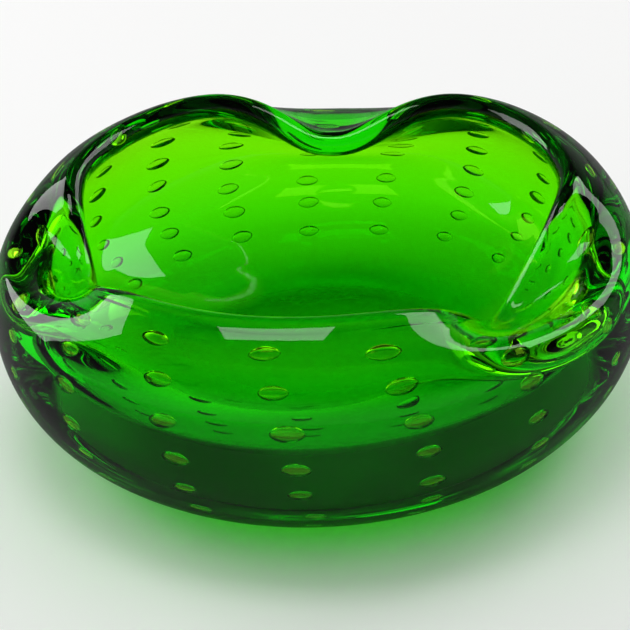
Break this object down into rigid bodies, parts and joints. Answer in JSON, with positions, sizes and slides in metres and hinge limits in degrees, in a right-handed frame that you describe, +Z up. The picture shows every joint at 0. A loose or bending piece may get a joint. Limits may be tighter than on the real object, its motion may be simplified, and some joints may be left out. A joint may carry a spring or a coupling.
{
  "type": "art glass bowl",
  "caption": "Low round bowl of thick cased green glass with a lattice of trapped air bubbles and a rim pinched in at intervals; holds sweets, keys or trinkets.",
  "frame": {"origin": "centre of the ground foot, on the surface that the bowl stands on", "axes": "+Z up out of the mouth, +Y towards the back pinch, +X to the right as the picture sees it"},
  "size_m": [0.17, 0.17, 0.0654],
  "materials": {
    "gather_glass": "polished green glass",
    "casing_glass": "polished green glass with a ground foot"
  },
  "bodies": {
    "root": {"inner_gather": "gather_glass", "outer_casing": "casing_glass"}
  },
  "joints": []
}
